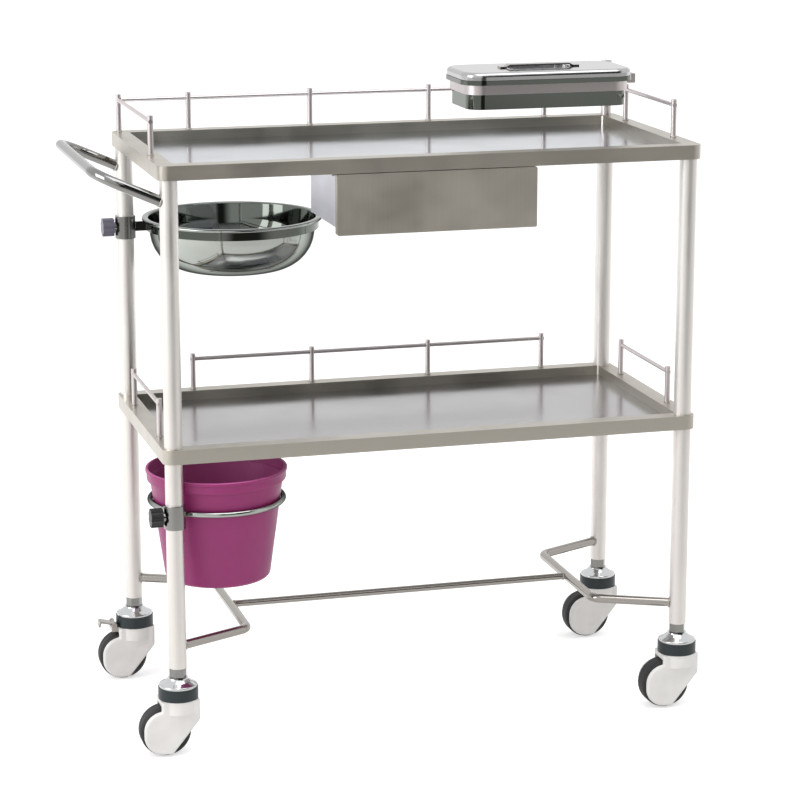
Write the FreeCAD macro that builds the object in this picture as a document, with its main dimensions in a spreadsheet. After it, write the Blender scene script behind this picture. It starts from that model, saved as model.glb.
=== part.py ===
"""Two-tier dressing trolley with guard rails, a push handle, a hanging drawer and holders for a basin, a bucket
and a lidded tray. Millimetres, +Z up, origin on the floor midway between the four legs, front towards -Y."""

import FreeCAD, Part
import os
import re

import Sketcher

SIZES = {
    # legs and the floor
    "leg_span_length": 745,
    "leg_span_depth": 342,
    "leg_diameter": 25,
    "leg_wall": 1.5,
    "leg_foot_height": 125,
    "fit_gap": 0.1,
    "running_gap": 0.05,
    "loose_gap": 0.3,
    # shelf frames, bent from sheet, and the panels let into them
    "lower_shelf_height": 440,
    "upper_shelf_height": 831,
    "frame_height": 20,
    "frame_flange": 24,
    "frame_sheet": 1.2,
    "frame_overhang": 16,
    "frame_corner_radius": 14,
    "panel_recess": 14,
    "panel_sheet": 1.5,
    "panel_lip": 8,
    # guard rails
    "rail_inset": 11,
    "rail_post_diameter": 8,
    "rail_post_height": 54,
    "rail_rod_diameter": 6,
    "rail_rod_height": 46,
    "rail_back_pitch": 183,
    "rail_side_pitch": 196,
    "rail_left_post_depth": -75,
    # push handle
    "handle_diameter": 15,
    "handle_wall": 1.5,
    "handle_drop": 54,
    "handle_reach": 106,
    "handle_tilt": 24,
    "handle_bend": 40,
    # foot braces and the stretcher between them
    "brace_diameter": 13,
    "brace_wall": 1.2,
    "brace_rise": 30,
    "brace_reach": 112,
    "brace_inset": 54,
    "brace_bend": 18,
    "stretcher_diameter": 10,
    # drawer and its runners
    "drawer_front_width": 286,
    "drawer_front_height": 84,
    "drawer_front_depth": 12,
    "drawer_front_drop": 1,
    "drawer_width": 262,
    "drawer_height": 78,
    "drawer_depth": 200,
    "drawer_sheet": 1.2,
    "drawer_flange": 8,
    "drawer_drop": 5,
    "runner_sheet": 1.5,
    "runner_lip": 7,
    "runner_foot": 14,
    "runner_length": 195,
    "runner_setback": 37,
    # clamps on the legs
    "clamp_radius": 15,
    "clamp_height": 33,
    "clamp_boss_radius": 7,
    "clamp_boss_reach": 17,
    "screw_radius": 3,
    "knob_radius": 13.5,
    "knob_depth": 17,
    "knob_flute_radius": 4,
    # basin and its ring
    "basin_drop": 139.5,
    "basin_reach": 160,
    "basin_band_radius": 129,
    "basin_band_sheet": 3,
    "basin_band_height": 14,
    "basin_rim_radius": 133.5,
    "basin_rim_thickness": 2.5,
    "basin_depth": 77,
    "basin_bowl_radius": 124,
    "basin_corner_radius": 118,
    "basin_wall": 1.2,
    "basin_bowl_rounding": 60,
    # bucket and its ring
    "bucket_ring_drop": 97,
    "bucket_below_ring": 113.5,
    "bucket_reach": 113.5,
    "bucket_direction": 47.5,
    "bucket_ring_radius": 94,
    "bucket_rod_radius": 4,
    "bucket_height": 159.5,
    "bucket_floor_radius": 74,
    "bucket_wall": 2,
    "bucket_collar_radius": 100,
    "bucket_collar_height": 17,
    "bucket_foot_rounding": 12,
    # tray, its lid and the holder on a post
    "tray_length": 240,
    "tray_depth": 108,
    "tray_height": 42,
    "tray_corner_radius": 22,
    "tray_sheet": 1.2,
    "tray_flange": 9,
    "tray_lip_depth": 6.5,
    "tray_centre_from_leg": 162,
    "tray_centre_in_front": 156,
    "tray_base_height": 40.5,
    "tray_band_height": 19,
    "tray_band_sheet": 3,
    "tray_post_diameter": 16,
    "tray_hub_radius": 13,
    "lid_height": 11,
    "lid_dish_length": 96,
    "lid_dish_depth": 44,
    "lid_dish_sink": 6,
    "lid_dish_rounding": 12,
    "lid_strap_width": 14,
    "lid_strap_sheet": 2,
    "lid_strap_rise": 3,
    "lid_strap_foot": 12,
    # casters
    "wheel_radius": 36,
    "tyre_width": 28,
    "hub_radius": 27,
    "hub_width": 24,
    "hub_boss_radius": 9,
    "hub_boss_width": 30,
    "axle_radius": 4,
    "caster_trail": 20,
    "wheel_room": 2.5,
    "hood_width": 42,
    "hood_slot": 31,
    "hood_back_reach": 32,
    "hood_back_rounding": 28,
    "hood_shoulder_height": 62,
    "hood_notch_height": 67,
    "hood_column_radius": 27,
    "hood_top_height": 81,
    "hood_column_height": 19,
    "hood_rounding": 4,
    "hood_heel_height": 52,
    "hood_toe_reach": 8,
    "hood_toe_height": 4,
    "swivel_radius": 12,
    "swivel_floor_height": 76,
    "swivel_ring_radius": 24.2,
    "cap_base_height": 98,
    "cap_top_height": 111,
    "cap_edge": 3,
    "cap_neck_radius": 14,
    "band_radius": 28,
    "stem_radius": 6,
    "stem_nut_radius": 12,
    "stem_depth_in_leg": 36,
    "socket_length": 40,
    # brake on the back left caster
    "brake_pin_radius": 2,
    "brake_pin_height": 85,
    "brake_pin_reach": 33,
    "brake_hub_radius": 3.6,
    "brake_width": 26,
    "brake_ear": 4,
    "pedal_reach": 22,
    "pedal_sheet": 2.5,
    "pedal_lip": 9,
    "pedal_rise": 14,
}

ALONG_X = FreeCAD.Rotation(FreeCAD.Vector(0, 1, 0), 90)
ALONG_MINUS_X = FreeCAD.Rotation(FreeCAD.Vector(0, 1, 0), -90)
ALONG_Y = FreeCAD.Rotation(FreeCAD.Vector(1, 0, 0), -90)
ALONG_Z = FreeCAD.Rotation()
CORNERS = {"front_left": (-1, -1), "back_left": (-1, 1), "front_right": (1, -1), "back_right": (1, 1)}

doc = FreeCAD.newDocument("dressing_trolley")
sheet = doc.addObject("Spreadsheet::Sheet", "sizes")
for row, (alias, number) in enumerate(SIZES.items(), start=1):
    sheet.set(f"A{row}", str(number))
    sheet.setAlias(f"A{row}", alias)
doc.recompute()

pieces = {}


def named(expression):
    """The expression with each size read from the sheet."""
    return re.sub(r"[a-z_]+", lambda word: f"sizes.{word[0]}" if word[0] in SIZES else word[0], str(expression))


def value(expression):
    return float(sheet.evalExpression(named(expression)))


def bind(thing, **settings):
    """Ties each property to an expression of the sizes; a double underscore stands for a dot."""
    for path, expression in settings.items():
        thing.setExpression(path.replace("__", "."), named(expression))
    return thing


def place(thing, x=0, y=0, z=0, turn=ALONG_Z):
    thing.Placement = FreeCAD.Placement(FreeCAD.Vector(value(x), value(y), value(z)), turn)
    return bind(thing, Placement__Base__x=x, Placement__Base__y=y, Placement__Base__z=z)


def piece(name, thing):
    """Marks a finished sub-part: its label names its file."""
    thing.Label = name
    pieces[name] = thing
    return thing


def rod(name, radius, length, x=0, y=0, z=0, turn=ALONG_Z):
    cylinder = doc.addObject("Part::Cylinder", name)
    bind(cylinder, Radius=radius, Height=length)
    return place(cylinder, x, y, z, turn)


def block(name, length, width, height, x=0, y=0, z=0):
    box = doc.addObject("Part::Box", name)
    bind(box, Length=length, Width=width, Height=height)
    return place(box, x, y, z)


def fused(name, *things):
    fusion = doc.addObject("Part::MultiFuse", name)
    fusion.Shapes = list(things)
    fusion.Refine = True
    return fusion


def group(name, *things):
    compound = doc.addObject("Part::Compound", name)
    compound.Links = list(things)
    return compound


def cut(name, base, *tools):
    result = doc.addObject("Part::Cut", name)
    result.Base = base
    result.Tool = tools[0] if len(tools) == 1 else group(name + "_tools", *tools)
    return result


def new_body(name):
    return doc.addObject("PartDesign::Body", name)


def new_sketch(body, name, role="XY_Plane", lift=0):
    """A sketch on one of the body's own origin planes, lifted along that plane's normal."""
    sketch = body.newObject("Sketcher::SketchObject", name)
    plane = [feature for feature in body.Origin.OriginFeatures if feature.Role == role][0]
    sketch.AttachmentSupport = (plane, [""])
    sketch.MapMode = "FlatFace"
    return bind(sketch, AttachmentOffset__Base__z=lift)


def tie(sketch, kind, *where, to):
    """A driving constraint whose number follows an expression."""
    index = sketch.addConstraint(Sketcher.Constraint(kind, *where, value(to)))
    sketch.setExpression(f"Constraints[{index}]", named(to))


def circle(sketch, radius, x=0, y=0):
    centre = FreeCAD.Vector(value(x), value(y), 0)
    index = sketch.addGeometry(Part.Circle(centre, FreeCAD.Vector(0, 0, 1), value(radius)), False)
    tie(sketch, "DistanceX", -1, 1, index, 3, to=x)
    tie(sketch, "DistanceY", -1, 1, index, 3, to=y)
    tie(sketch, "Radius", index, to=radius)
    return sketch


def outline(sketch, corners, closed=True):
    """Straight lines through the corners (x, y) or (x, y, rounding), each rounding an arc tangent to its lines."""
    count = len(corners)
    points = [FreeCAD.Vector(value(corner[0]), value(corner[1]), 0) for corner in corners]
    rounding = [value(corner[2]) if len(corner) > 2 else 0 for corner in corners]
    marks = []
    for corner, point in zip(corners, points):
        mark = sketch.addGeometry(Part.Point(point), True)
        tie(sketch, "DistanceX", -1, 1, mark, 1, to=corner[0])
        tie(sketch, "DistanceY", -1, 1, mark, 1, to=corner[1])
        marks.append(mark)

    def trimmed(at, towards):
        """The tangent point on the line from a corner towards its neighbour."""
        if not rounding[at]:
            return points[at]
        before = (points[at - 1] - points[at]).normalize()
        after = (points[(at + 1) % count] - points[at]).normalize()
        half_angle_tangent = before.cross(after).Length / (1 + before.dot(after))
        return points[at] + (points[towards] - points[at]).normalize() * (rounding[at] / half_angle_tangent)

    last = count if closed else count - 1
    lines = []
    for start in range(last):
        end = (start + 1) % count
        segment = Part.LineSegment(trimmed(start, end), trimmed(end, start))
        lines.append(sketch.addGeometry(segment, False))
    for start, line in enumerate(lines):
        for at, side in ((start, 1), ((start + 1) % count, 2)):
            if rounding[at]:
                sketch.addConstraint(Sketcher.Constraint("PointOnObject", marks[at], 1, line))
            else:
                sketch.addConstraint(Sketcher.Constraint("Coincident", line, side, marks[at], 1))
    for at in range(count):
        if not rounding[at]:
            continue
        into, out = lines[at - 1], lines[at]
        leaves, arrives = trimmed(at, at - 1), trimmed(at, (at + 1) % count)
        before = (points[at] - points[at - 1]).normalize()
        after = (points[(at + 1) % count] - points[at]).normalize()
        left = before.cross(after).z > 0
        normal = FreeCAD.Vector(-before.y, before.x, 0) * (rounding[at] if left else -rounding[at])
        centre = leaves + normal
        middle = centre + (points[at] - centre).normalize() * rounding[at]
        arc = Part.Arc(leaves, middle, arrives)
        index = sketch.addGeometry(arc, False)
        first, second = (1, 2) if left else (2, 1)
        sketch.addConstraint(Sketcher.Constraint("Tangent", into, 2, index, first))
        sketch.addConstraint(Sketcher.Constraint("Tangent", index, second, out, 1))
        tie(sketch, "Radius", index, to=corners[at][2])
    return sketch


def rectangle(sketch, length, width, rounding=None, x=0, y=0):
    ends = [(f"({x}) - ({length}) / 2", f"({y}) - ({width}) / 2"), (f"({x}) + ({length}) / 2", f"({y}) - ({width}) / 2"),
            (f"({x}) + ({length}) / 2", f"({y}) + ({width}) / 2"), (f"({x}) - ({length}) / 2", f"({y}) + ({width}) / 2")]
    return outline(sketch, [corner + ((rounding,) if rounding else ()) for corner in ends])


def pad(body, sketch, length, both=False, reverse=False):
    feature = body.newObject("PartDesign::Pad", "pad")
    feature.Profile = sketch
    feature.SideType = "Symmetric" if both else "One side"
    feature.Reversed = reverse
    return bind(feature, Length=length)


def pocket(body, sketch, length=None, reverse=False):
    """Cuts along the sketch's reversed normal, or through everything where no length is given."""
    feature = body.newObject("PartDesign::Pocket", "pocket")
    feature.Profile = sketch
    feature.Reversed = reverse
    if length is None:
        feature.Type = "ThroughAll"
        return feature
    return bind(feature, Length=length)


def turned(body, sketch):
    """Revolves the profile about the sketch's vertical axis."""
    feature = body.newObject("PartDesign::Revolution", "turned")
    feature.Profile = sketch
    feature.ReferenceAxis = (sketch, ["V_Axis"])
    feature.Angle = 360
    return feature


def bent_tube(name, corners, diameter, wall):
    """A round tube bent in the body's own XY plane along an open outline."""
    body = new_body(name)
    spine = outline(new_sketch(body, name + "_line"), corners, closed=False)
    doc.recompute()
    section = body.newObject("Sketcher::SketchObject", name + "_section")
    section.AttachmentSupport = (spine, ["Edge1"])
    section.MapMode = "NormalToEdge"
    circle(section, f"({diameter}) / 2")
    circle(section, f"({diameter}) / 2 - ({wall})")
    doc.recompute()
    pipe = body.newObject("PartDesign::AdditivePipe", name + "_pipe")
    pipe.Profile = section
    pipe.Spine = (spine, [f"Edge{number + 1}" for number in range(len(spine.Shape.Edges))])
    return body


def leg_x(side):
    return f"({side}) * leg_span_length / 2"


def leg_y(side):
    return f"({side}) * leg_span_depth / 2"


def leg_room(name, side_x, side_y, z, length, radius="leg_diameter / 2 + fit_gap"):
    """A tool for what is coped or bored to fit round a leg."""
    return rod(name, radius, length, leg_x(side_x), leg_y(side_y), z)


def legs():
    for corner, (side_x, side_y) in CORNERS.items():
        at = (leg_x(side_x), leg_y(side_y), "leg_foot_height")
        length = "upper_shelf_height - frame_sheet - leg_foot_height"
        outside = rod(corner + "_outside", "leg_diameter / 2", length, *at)
        inside = rod(corner + "_inside", "leg_diameter / 2 - leg_wall", length, *at)
        piece("leg_" + corner, cut("tube_" + corner, outside, inside))
    sockets = []
    for corner, (side_x, side_y) in CORNERS.items():
        at = (leg_x(side_x), leg_y(side_y), "leg_foot_height")
        plug = rod(corner + "_plug", "leg_diameter / 2 - leg_wall - running_gap", "socket_length", *at)
        hole = rod(corner + "_plug_hole", "stem_radius + running_gap", "socket_length", *at)
        sockets.append(cut(corner + "_socket", plug, hole))
    piece("caster_sockets", group("sockets", *sockets))


FRAME_LENGTH = "leg_span_length + 2 * frame_overhang"
FRAME_DEPTH = "leg_span_depth + 2 * frame_overhang"


def frame_ring(sketch, inset, rounding=None):
    return rectangle(sketch, f"{FRAME_LENGTH} - 2 * ({inset})", f"{FRAME_DEPTH} - 2 * ({inset})", rounding)


def leg_circles(sketch):
    for side_x, side_y in CORNERS.values():
        circle(sketch, "leg_diameter / 2 + fit_gap", leg_x(side_x), leg_y(side_y))
    return sketch


def shelf(tier, height, open_top):
    """A frame of folded sheet with a well, a lip under the panel and a hole for each leg, and the panel in it."""
    frame = new_body(tier + "_frame")
    pad(frame, frame_ring(new_sketch(frame, tier + "_outside"), 0, "frame_corner_radius"), "frame_height")
    well = new_sketch(frame, tier + "_well", lift="frame_height")
    pocket(frame, frame_ring(well, "frame_flange"), "panel_recess + panel_sheet")
    opening = new_sketch(frame, tier + "_opening", lift="frame_height")
    pocket(frame, frame_ring(opening, "frame_flange + panel_lip"))
    under = new_sketch(frame, tier + "_under")
    inner_corner = "frame_corner_radius - frame_sheet"
    under_depth = "frame_height - panel_recess - panel_sheet - frame_sheet"
    pocket(frame, frame_ring(under, "frame_sheet", inner_corner), under_depth, reverse=True)
    channel = new_sketch(frame, tier + "_channel")
    frame_ring(channel, "frame_sheet", inner_corner)
    frame_ring(channel, "frame_flange - frame_sheet")
    pocket(frame, channel, "frame_height - frame_sheet", reverse=True)
    holes = leg_circles(new_sketch(frame, tier + "_holes"))
    pocket(frame, holes, "frame_height" if open_top else "frame_height - frame_sheet", reverse=True)
    piece(tier + "_shelf_frame", place(frame, z=f"{height} - frame_height"))
    panel = new_body(tier + "_panel")
    pad(panel, frame_ring(new_sketch(panel, tier + "_sheet"), "frame_flange + fit_gap"), "panel_sheet")
    pocket(panel, leg_circles(new_sketch(panel, tier + "_notches")), "panel_sheet", reverse=True)
    piece(tier + "_shelf_panel", place(panel, z=f"{height} - panel_recess - panel_sheet"))


RAIL_X = "(leg_span_length / 2 + frame_overhang - rail_inset)"
RAIL_Y = "(leg_span_depth / 2 + frame_overhang - rail_inset)"
POST = "rail_post_diameter / 2"


def rail_post(name, height, x, y, turn):
    """A post on the frame's top, drilled for the rod; the corner post is plain."""
    post = rod(name, POST, "rail_post_height", x, y, height)
    if turn is None:
        return post
    back = (f"({x}) - rail_post_diameter", y) if turn is ALONG_X else (x, f"({y}) - rail_post_diameter")
    hole = rod(name + "_hole", "rail_rod_diameter / 2 + running_gap", "2 * rail_post_diameter", *back,
               f"{height} + rail_rod_height", turn)
    return cut(name + "_drilled", post, hole)


def rail_rod(name, height, x, y, length, turn):
    return piece(name, rod(name, "rail_rod_diameter / 2", length, x, y, f"{height} + rail_rod_height", turn))


def rails(tier, height):
    back_x = [f"{step} * rail_back_pitch" for step in (-1.5, -0.5, 0.5, 1.5)]
    posts = [rail_post(f"{tier}_back_post_{number}", height, x, RAIL_Y, ALONG_X) for number, x in enumerate(back_x)]
    side_y = ["-rail_side_pitch / 2", "rail_side_pitch / 2"]
    posts += [rail_post(f"{tier}_right_post_{number}", height, RAIL_X, y, ALONG_Y) for number, y in enumerate(side_y)]
    side_rod = ("rail_side_pitch + rail_post_diameter", ALONG_Y)
    rail_rod(tier + "_right_rail", height, RAIL_X, f"-rail_side_pitch / 2 - {POST}", *side_rod)
    right_end = f"1.5 * rail_back_pitch + {POST}"
    if tier == "upper":
        posts.append(rail_post("upper_corner_post", height, f"-{RAIL_X}", RAIL_Y, None))
        posts.append(rail_post("upper_left_post", height, f"-{RAIL_X}", "rail_left_post_depth", ALONG_Y))
        rail_rod("upper_back_rail", height, f"-{RAIL_X} + {POST}", RAIL_Y, f"{RAIL_X} + {right_end} - {POST}", ALONG_X)
        rail_rod("upper_left_rail", height, f"-{RAIL_X}", f"rail_left_post_depth - {POST}",
                 f"{RAIL_Y} - rail_left_post_depth", ALONG_Y)
    else:
        posts += [rail_post(f"lower_left_post_{number}", height, f"-{RAIL_X}", y, ALONG_Y)
                  for number, y in enumerate(side_y)]
        rail_rod("lower_left_rail", height, f"-{RAIL_X}", f"-rail_side_pitch / 2 - {POST}", *side_rod)
        rail_rod("lower_back_rail", height, f"-({right_end})", RAIL_Y, f"2 * ({right_end})", ALONG_X)
    piece(tier + "_rail_posts", group(tier + "_posts", *posts))


HANDLE_LEVEL = "(upper_shelf_height - handle_drop)"
BRACE_LEVEL = "(leg_foot_height + brace_rise)"


def push_handle():
    """A U of tube on the left end, coped to the legs and rising away from them."""
    half = "leg_span_depth / 2"
    corners = [(0, f"-{half}"), ("-handle_reach", f"-{half}", "handle_bend"),
               ("-handle_reach", half, "handle_bend"), (0, half)]
    tube = bent_tube("handle_tube", corners, "handle_diameter", "handle_wall")
    place(tube, leg_x(-1), 0, HANDLE_LEVEL, FreeCAD.Rotation(FreeCAD.Vector(0, 1, 0), value("handle_tilt")))
    bind(tube, Placement__Rotation__Angle="handle_tilt")
    room = [leg_room(f"handle_room_{side}", -1, side, f"{HANDLE_LEVEL} - 2 * leg_diameter", "4 * leg_diameter")
            for side in (-1, 1)]
    piece("push_handle", cut("handle", tube, *room))


def foot_braces():
    """A bent tube between the front and back leg of each end, and the stretcher that joins the two."""
    half = "leg_span_depth / 2"
    for end, side in (("left", -1), ("right", 1)):
        inner = f"{-side} * brace_reach"
        corners = [(0, f"-{half}"), (inner, f"-({half} - brace_inset)", "brace_bend"),
                   (inner, f"{half} - brace_inset", "brace_bend"), (0, half)]
        tube = bent_tube(end + "_brace_tube", corners, "brace_diameter", "brace_wall")
        place(tube, leg_x(side), 0, BRACE_LEVEL)
        room = [leg_room(f"{end}_brace_room_{row}", side, row, f"{BRACE_LEVEL} - leg_diameter", "2 * leg_diameter")
                for row in (-1, 1)]
        piece(end + "_foot_brace", cut(end + "_brace", tube, *room))
    length = "leg_span_length - 2 * brace_reach"
    bar = rod("stretcher_bar", "stretcher_diameter / 2", length, f"-({length}) / 2", 0, BRACE_LEVEL, ALONG_X)
    room = [rod(f"stretcher_room_{side}", "brace_diameter / 2 + fit_gap", "4 * stretcher_diameter",
                f"{side} * ({length}) / 2", "-2 * stretcher_diameter", BRACE_LEVEL, ALONG_Y) for side in (-1, 1)]
    piece("foot_stretcher", cut("stretcher", bar, *room))


PANEL_UNDERSIDE = "upper_shelf_height - panel_recess - panel_sheet"
FRAME_UNDERSIDE = "upper_shelf_height - frame_height"
FRAME_FRONT = "-(leg_span_depth / 2 + frame_overhang)"
DRAWER_TOP = f"{FRAME_UNDERSIDE} - drawer_drop"


def drawer_runners():
    """Folded runners under the upper panel whose lips carry the drawer's flanges."""
    web = "drawer_width / 2 + drawer_flange + loose_gap"
    lip_top = f"{DRAWER_TOP} - drawer_sheet - loose_gap"
    for end, side in (("left", -1), ("right", 1)):
        body = new_body(end + "_runner")
        across = [(f"{web} - runner_lip", f"{lip_top} - runner_sheet"), (f"{web} + runner_sheet", f"{lip_top} - runner_sheet"),
                  (f"{web} + runner_sheet", f"{PANEL_UNDERSIDE} - runner_sheet"),
                  (f"{web} + runner_foot", f"{PANEL_UNDERSIDE} - runner_sheet"), (f"{web} + runner_foot", PANEL_UNDERSIDE),
                  (web, PANEL_UNDERSIDE), (web, lip_top), (f"{web} - runner_lip", lip_top)]
        profile = outline(new_sketch(body, end + "_fold", "XZ_Plane"), [(f"{side} * ({x})", z) for x, z in across])
        pad(body, profile, "runner_length", reverse=True)
        piece(f"drawer_{end}_runner", place(body, y=f"{FRAME_FRONT} + runner_setback"))


def drawer():
    """An open box with carrying flanges, behind a folded front that hangs below the frame."""
    front = new_body("front_pan")
    width, height = "drawer_front_width", "drawer_front_height"
    pad(front, rectangle(new_sketch(front, "front_face", "XZ_Plane"), width, height, "2 * drawer_sheet"),
        "drawer_front_depth", reverse=True)
    hollow = new_sketch(front, "front_hollow", "XZ_Plane", lift="-drawer_front_depth")
    rectangle(hollow, f"{width} - 2 * drawer_sheet", f"{height} - 2 * drawer_sheet", "drawer_sheet")
    pocket(front, hollow, "drawer_front_depth - drawer_sheet", reverse=True)
    piece("drawer_front", place(front, 0, FRAME_FRONT, f"{FRAME_UNDERSIDE} - drawer_front_drop - {height} / 2"))
    box = new_body("drawer_shell")
    middle = "drawer_depth / 2"
    pad(box, rectangle(new_sketch(box, "box_outside"), "drawer_width", "drawer_depth", "2 * drawer_sheet", 0, middle),
        "drawer_height")
    flanges = new_sketch(box, "box_flanges", lift="drawer_height - drawer_sheet")
    start = "runner_setback"
    rectangle(flanges, "drawer_width + 2 * drawer_flange", f"drawer_depth - {start}", None, 0,
              f"(drawer_depth + {start}) / 2")
    pad(box, flanges, "drawer_sheet")
    inside = new_sketch(box, "box_inside", lift="drawer_height")
    rectangle(inside, "drawer_width - 2 * drawer_sheet", "drawer_depth - 2 * drawer_sheet", "drawer_sheet", 0, middle)
    pocket(box, inside, "drawer_height - drawer_sheet")
    piece("drawer_box", place(box, 0, f"{FRAME_FRONT} + drawer_sheet", f"{DRAWER_TOP} - drawer_height"))


def clamp(name, side_y, height):
    """A collar round a left leg, with a threaded boss facing outwards for its knob."""
    low = f"{height} - clamp_height / 2"
    at = (leg_x(-1), leg_y(side_y))
    collar = rod(name + "_collar", "clamp_radius", "clamp_height", *at, low)
    boss = rod(name + "_boss", "clamp_boss_radius", "clamp_boss_reach", *at, height, ALONG_MINUS_X)
    bore = leg_room(name + "_bore", -1, side_y, low, "clamp_height", "leg_diameter / 2 + running_gap")
    thread = rod(name + "_thread", "screw_radius + running_gap", "clamp_boss_reach", *at, height, ALONG_MINUS_X)
    piece(name, cut(name + "_bored", fused(name + "_body", collar, boss), bore, thread))


def knob(name, side_y, height):
    """A fluted hand knob on its screw, pointing left."""
    body = new_body(name + "_turning")
    start = "clamp_boss_reach + loose_gap"
    pad(body, circle(new_sketch(body, name + "_face", lift=start), "knob_radius"), "knob_depth")
    flute = new_sketch(body, name + "_flute", lift=start)
    first = pocket(body, circle(flute, "knob_flute_radius", "knob_radius + knob_flute_radius / 2"), "knob_depth",
                   reverse=True)
    flutes = body.newObject("PartDesign::PolarPattern", name + "_flutes")
    flutes.Originals = [first]
    flutes.Axis = (flute, ["N_Axis"])
    flutes.Occurrences = 8
    body.Tip = flutes
    tip = "leg_diameter / 2 + loose_gap"
    pad(body, circle(new_sketch(body, name + "_screw", lift=tip), "screw_radius"), f"{start} - ({tip})")
    piece(name, place(body, leg_x(-1), leg_y(side_y), height, ALONG_MINUS_X))


BASIN_LEVEL = "(upper_shelf_height - basin_drop)"
BUCKET_LEVEL = "(lower_shelf_height - bucket_ring_drop)"


def basin():
    """A bowl whose flange rests on a flat ring, held beside the back left leg by a flat arm."""
    clamp("basin_clamp", 1, BASIN_LEVEL)
    knob("basin_knob", 1, BASIN_LEVEL)
    x, y = f"{leg_x(-1)} + basin_reach", leg_y(1)
    low = f"{BASIN_LEVEL} - basin_band_height / 2"
    band = rod("band_outside", "basin_band_radius", "basin_band_height", x, y, low)
    arm = block("basin_arm", "basin_reach - basin_band_radius + basin_band_sheet / 2", "basin_band_sheet",
                "basin_band_height", leg_x(-1), f"{y} - basin_band_sheet / 2", low)
    hollow = rod("band_inside", "basin_band_radius - basin_band_sheet", "basin_band_height", x, y, low)
    collar = rod("basin_collar_room", "clamp_radius + fit_gap", "clamp_height", leg_x(-1), y,
                 f"{BASIN_LEVEL} - clamp_height / 2")
    piece("basin_ring", cut("basin_holder", fused("basin_hoop", band, arm), hollow, collar))
    body = new_body("bowl")
    floor, top, thick = "-basin_depth", "basin_rim_thickness", "basin_wall"
    profile = [(0, floor), ("basin_corner_radius", floor, "basin_bowl_rounding"), ("basin_bowl_radius", 0),
               ("basin_rim_radius", 0), ("basin_rim_radius", top, "basin_wall"),
               (f"basin_bowl_radius - {thick}", top, "basin_wall"),
               (f"basin_corner_radius - {thick}", f"{floor} + {thick}", f"basin_bowl_rounding - {thick}"),
               (0, f"{floor} + {thick}")]
    turned(body, outline(new_sketch(body, "bowl_profile", "XZ_Plane"), profile))
    piece("basin_bowl", place(body, x, y, f"{BASIN_LEVEL} + basin_band_height / 2 + loose_gap"))


def bucket():
    """A tapered bucket wedged in a ring of rod, beside the front left leg."""
    clamp("bucket_clamp", -1, BUCKET_LEVEL)
    knob("bucket_knob", -1, BUCKET_LEVEL)
    x = f"{leg_x(-1)} + bucket_reach * cos(bucket_direction * 1deg)"
    y = f"{leg_y(-1)} + bucket_reach * sin(bucket_direction * 1deg)"
    ring = doc.addObject("Part::Torus", "bucket_hoop")
    bind(ring, Radius1="bucket_ring_radius", Radius2="bucket_rod_radius")
    place(ring, "bucket_reach")
    lug = rod("bucket_lug", "bucket_rod_radius", "bucket_reach - bucket_ring_radius", turn=ALONG_X)
    collar = rod("bucket_collar_room", "clamp_radius + fit_gap", "clamp_height", z="-clamp_height / 2")
    holder = cut("bucket_holder", fused("bucket_loop", ring, lug), collar)
    turn = FreeCAD.Rotation(FreeCAD.Vector(0, 0, 1), value("bucket_direction"))
    place(holder, leg_x(-1), leg_y(-1), BUCKET_LEVEL, turn)
    piece("bucket_ring", bind(holder, Placement__Rotation__Angle="bucket_direction"))
    body = new_body("bucket_shell")
    ring_bore = "(bucket_ring_radius - bucket_rod_radius - loose_gap)"
    flare = f"({ring_bore} - bucket_floor_radius) / bucket_below_ring"
    collar_level = "(bucket_height - bucket_collar_height)"
    under_collar = f"bucket_floor_radius + {flare} * {collar_level}"
    thick = "bucket_wall"
    profile = [(0, 0), ("bucket_floor_radius", 0, "bucket_foot_rounding"), (under_collar, collar_level),
               (f"bucket_collar_radius - {thick}", collar_level, thick), ("bucket_collar_radius", "bucket_height", thick),
               (f"bucket_collar_radius - 2 * {thick}", "bucket_height", f"{thick} / 2"),
               (f"bucket_collar_radius - 2.5 * {thick}", f"{collar_level} + {thick}", f"{thick} / 2"),
               (f"{under_collar} - {thick}", f"{collar_level} + {thick}"),
               (f"bucket_floor_radius - {thick}", thick, f"bucket_foot_rounding - {thick}"), (0, thick)]
    turned(body, outline(new_sketch(body, "bucket_profile", "XZ_Plane"), profile))
    piece("bucket", place(body, x, y, f"{BUCKET_LEVEL} - bucket_below_ring"))


TRAY_X = "leg_span_length / 2 - tray_centre_from_leg"
TRAY_Y = "leg_span_depth / 2 - tray_centre_in_front"
TRAY_BASE = "upper_shelf_height + tray_base_height"


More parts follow.
